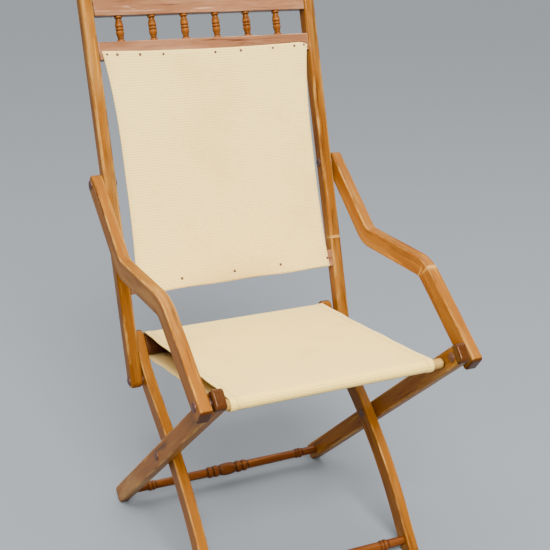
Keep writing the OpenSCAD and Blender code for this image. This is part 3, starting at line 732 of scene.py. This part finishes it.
def seat_point(x, place, normal, sag, at):
    """A point of the sleeve: the loop's point, pushed outwards by the hem's rise and by faint pulls
    of the cloth, and lowered by its sag, which is greatest half way between the side edges."""
    wander = 1.0 * np.sin(at / 31.0) + 0.7 * np.sin(at / 12.7 + 1)
    x = x * (1 + wander / SEAT_HALF * (np.abs(x) / SEAT_HALF) ** 6)
    pull = 0.35 * np.sin(x / 17.0 + at / 46.0) * (1 - np.abs(x) / SEAT_HALF * 0.5) * np.clip(sag, 0, 1)
    rise = hem_rise(SEAT_HALF - np.abs(x)) + pull
    drop = sag * (1 - 0.45 * (x / SEAT_HALF) ** 2)
    y, z = (place[..., i] + normal[..., i] * rise for i in (0, 1))
    return np.stack([x, y, z - drop], -1)


shape = (len(loop), len(across))
points = seat_point(np.broadcast_to(across, shape), np.broadcast_to(loop[:, None], (*shape, 2)),
                    np.broadcast_to(out[:, None], (*shape, 2)), slack[:, None] + np.zeros(shape),
                    run[:, None] + np.zeros(shape)).reshape(-1, 3)
cloth_uv = np.stack(np.broadcast_arrays(across[None], run[:, None], np.zeros(shape)), -1)
cloth_uv = cloth_uv.reshape(-1, 3) * MM
hem_line = np.exp(-((SEAT_HALF - np.abs(cloth_uv[:, 0] / MM) - HEM_W + 0.6) / 1.2) ** 2)
painted_underside_shade = np.repeat(0.9 * np.clip(-out[:, 1], 0, 1) ** 2, len(across))  # painted shade: darker where the cloth faces down, on the lower layer
seat_canvas = make_piece(
    "seat_canvas_sleeve", points, open_grid_faces(*shape, closed=True), seat_cloth,
    {"cloth": cloth_uv, "soil_and_shade": np.clip(0.5 * hem_line + painted_underside_shade, 0, 1)}, cloth=True)
thickness = seat_canvas.modifiers.new("canvas_thickness", "SOLIDIFY")
thickness.thickness = CANVAS_T * MM
thickness.offset = 0
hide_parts("seat_canvas")


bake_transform(seat_canvas)

# Waxed linen thread in a lockstitch: small rounded stitches pulled a little into the hem, dull with
# a faint twist.
linen_thread, tree, shader = new_material("waxed_linen_thread")
place = add_node(tree, "TexCoord", "Object")
twist = add_node(tree, "TexNoise", Vector=place, Scale=900.0, Detail=2.0)
colour = add_node(tree, "ValToRGB", "Color", Fac=twist, stops=((0.35, "#a8946a"), (0.65, "#d9c79f")))
tree.links.new(colour, shader.inputs["Base Color"])
shader.inputs["Roughness"].default_value = 0.7


def stitches(centres, ways, normals, length=2.7, radius=0.45):
    """Stitches like grains of rice: rings of the radius*(1 - s^4)^0.5 at four shares s of half the
    length, copied to each centre and turned to its way and its normal."""
    s = np.array([-0.98, -0.6, 0.6, 0.98])
    a = np.linspace(0, 2 * np.pi, 6, endpoint=False)
    r = radius * np.sqrt(1 - s**4)
    shape = np.stack(np.broadcast_arrays((s * length / 2)[:, None], r[:, None] * np.cos(a),
                                         r[:, None] * np.sin(a)), -1)
    side = np.cross(ways, normals)
    base = np.stack([ways, normals, side], 1)
    points = centres[:, None] + shape.reshape(1, -1, 3) @ base
    first = len(s) * len(a) * np.arange(len(centres))[:, None, None]
    one = grid_faces(len(s), len(a))
    faces, caps = (np.array(part)[None] + first for part in (one[:-2], one[-2:]))
    return points.reshape(-1, 3), faces.reshape(-1, 4).tolist() + caps.reshape(-1, 6).tolist()


STITCH_PITCH, STITCH_IN = 4.2, 3.4  # along the seam, and from the hem's inner edge
pitch = np.arange(4, loop_length - 4, STITCH_PITCH)
place = np.stack([np.interp(pitch, run, loop[:, i]) for i in (0, 1)], 1)
normal = unit(np.stack([np.interp(pitch, run, out[:, i]) for i in (0, 1)], 1))
sag = np.interp(pitch, run, slack)
centres, ways, normals = [], [], []
for side in (-1, 1):
    x = np.full(len(pitch), side * (SEAT_HALF - HEM_W + STITCH_IN))
    lift = np.stack([0 * x, *(normal * (CANVAS_T / 2 + 0.1)).T], 1)
    centre = seat_point(x, place, normal, sag, pitch) + lift
    centres.append(centre)
    ways.append(unit(np.gradient(centre, axis=0)))
    normals.append(np.stack([0 * x, *normal.T], 1))
points, faces = stitches(*(np.concatenate(v) for v in (centres, ways, normals)))
seat_stitching = make_piece("seat_hem_stitching", points, faces, linen_thread, {},
                            cloth=True)
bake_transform(seat_stitching)

# ---------------------------------------------------------------- back canvas
# A second piece of the same canvas across the front of the back, tacked along its top to the
# spindle rail and along its bottom to the lower rail, and drawn in by its own tension at the waist.
TOP_TACKS = np.array([-209.0, -188, -143, -96, 13, 68, 139, 188, 210])
CANVAS_TOP = SPINDLE_RAIL_TOP - 17.5
WAIST_HALF, SIDE_HEM = 204.0, 9.0
TOP_FLARE, BOTTOM_FLARE = 14, 9
back_cloth = ribbed_canvas("cream_cotton_canvas_back", "#ffdc84", "#f2cd74", "#b6924a")

# u goes across from -1 to 1 and t up from 0 to 1. The width grows by the cube of the way from half
# height to either rail. The cloth sags along the top, droops at its lower left corner, puckers
# between the tacks and bellies forwards a little.
u, t = np.meshgrid(cloth_columns(WAIST_HALF, 64, SIDE_HEM) / WAIST_HALF, np.linspace(0, 1, 120))
half_width = (WAIST_HALF + TOP_FLARE * np.clip(2 * t - 1, 0, 1) ** 3
              + BOTTOM_FLARE * np.clip(1 - 2 * t, 0, 1) ** 3)
x = u * (half_width - 0.6)
sagging = -4.5 * (1 - u**2) * t**6 - 6.0 * np.clip((u - 0.9) / 0.1, 0, 1) ** 2 * t**12
droop = -2.5 * np.clip(-u - 0.2, 0, 1) * (1 - t) ** 4 + 0.7 * np.sin(9 * u) * (1 - t) ** 8
z = LOWER_RAIL + t * (CANVAS_TOP - LOWER_RAIL) + sagging + droop
to_tack = np.abs(x[..., None] - TOP_TACKS).min(-1)
pucker = (0.55 * (1 - np.exp(-to_tack / 9)) * np.exp(-(1 - t) * 22)
          + 0.5 * np.sin(x / 9.5 + 0.8 * np.sin(z / 60)) * np.exp(-(1 - t) * 7)
          + 0.35 * np.sin(x / 14.0 + 2) * np.exp(-t * 8))
belly = 0.8 * np.sin(np.pi * t) * np.sin(z / 47.0 + x / 90.0)
SIDE_HEM_SHARE = 0.55  # its side hems are pressed flatter than the seat's
rise = SIDE_HEM_SHARE * hem_rise((1 - np.abs(u)) * WAIST_HALF + HEM_W - SIDE_HEM)
y = RAIL_FRONT - CANVAS_T / 2 - 0.1 - np.clip(pucker + belly, 0, 3) - rise
points = np.stack([x, y, z], -1).reshape(-1, 3)
soil_and_shade = np.clip(0.9 * np.exp(-t / 0.06) * (0.5 + 0.5 * np.sin(4 * u + 2))
               + 0.5 * np.exp(-((1 - np.abs(u)) / 0.02)), 0, 1)
back_canvas = make_piece(
    "back_canvas_sheet", on_back(points), open_grid_faces(*x.shape), back_cloth,
    {"cloth": np.stack([x, z, 0 * x], -1).reshape(-1, 3) * MM + 0.7, "soil_and_shade": soil_and_shade.ravel()}, "back_frame",
    ["back_canvas"], cloth=True)
thickness = back_canvas.modifiers.new("canvas_thickness", "SOLIDIFY")
thickness.thickness = CANVAS_T * MM
thickness.offset = 0

# ---------------------------------------------------------------- iron fittings
# Rivets with hammered heads, the arms' bolts and nuts, washers between the moving bars and
# small upholstery tacks: all of iron that has browned with age.
aged_iron, tree, shader = new_material("browned_iron")
place = add_node(tree, "TexCoord", "Object")
rust = add_node(tree, "TexNoise", Vector=place, Scale=420.0, Detail=5.0, Roughness=0.7)
colour = add_node(tree, "ValToRGB", "Color", Fac=rust,
                  stops=((0.36, "#38221c"), (0.55, "#66443a"), (0.72, "#8a5c44")))
rough = add_node(tree, "MapRange", Value=rust, From_Min=0.3, From_Max=0.7, To_Min=0.3, To_Max=0.6)
bump = add_node(tree, "Bump", Height=rust, Strength=0.4, Distance=0.0004)
for source, socket in ((colour, "Base Color"), (rough, "Roughness"), (bump, "Normal")):
    tree.links.new(source, shader.inputs[socket])
shader.inputs["Metallic"].default_value = 0.45

for name, node in frame["nodes"].items():
    if not node.hide_render:
        node.data.materials.clear()
        node.data.materials.append(aged_iron)
